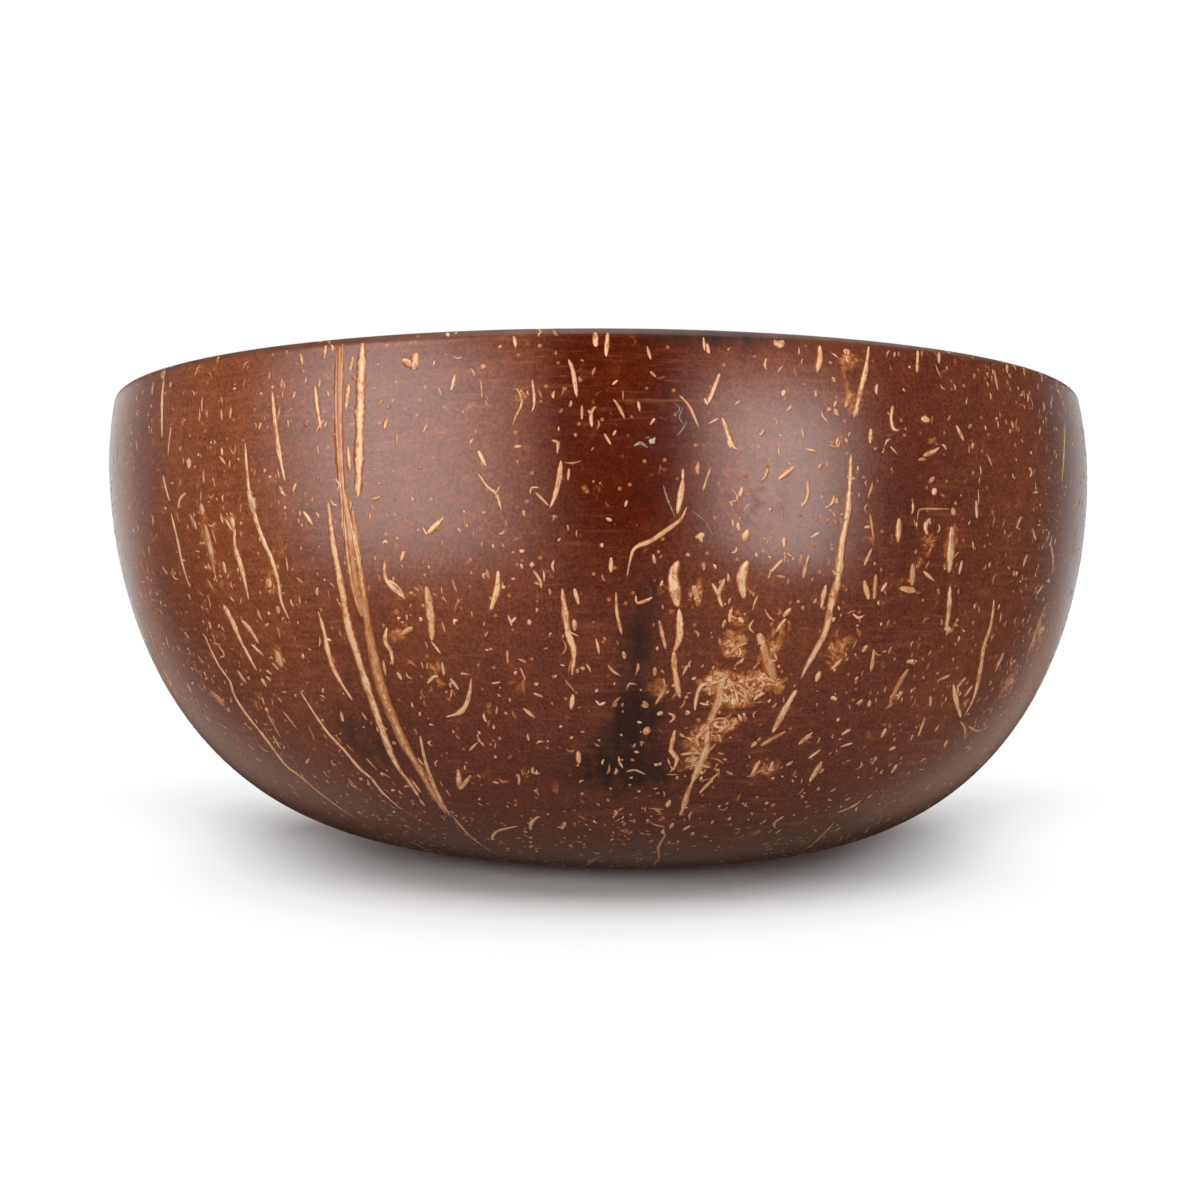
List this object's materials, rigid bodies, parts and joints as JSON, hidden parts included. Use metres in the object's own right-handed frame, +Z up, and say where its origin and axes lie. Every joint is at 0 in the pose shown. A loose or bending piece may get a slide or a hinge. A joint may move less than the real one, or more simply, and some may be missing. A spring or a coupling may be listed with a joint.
{
  "type": "coconut shell bowl",
  "caption": "Round open bowl cut level from one half of a polished coconut shell, with a sanded base flat and plugged eyes.",
  "frame": {"origin": "centre of the flat sanded at the base", "axes": "+Z up from the base flat towards the rim; -Y is the side that the picture shows; +X is its right"},
  "size_m": [0.1366, 0.1366, 0.0623],
  "materials": {
    "coconut_shell": "sanded, oiled and polished, dark reddish brown with cream fibre strands",
    "eye_filler": "shell dust bound in glue, sanded flush"
  },
  "bodies": {
    "root": {"shell": "coconut_shell", "soft_eye_plug": "eye_filler", "left_hard_eye_fill": "eye_filler", "right_hard_eye_fill": "eye_filler"}
  },
  "joints": []
}
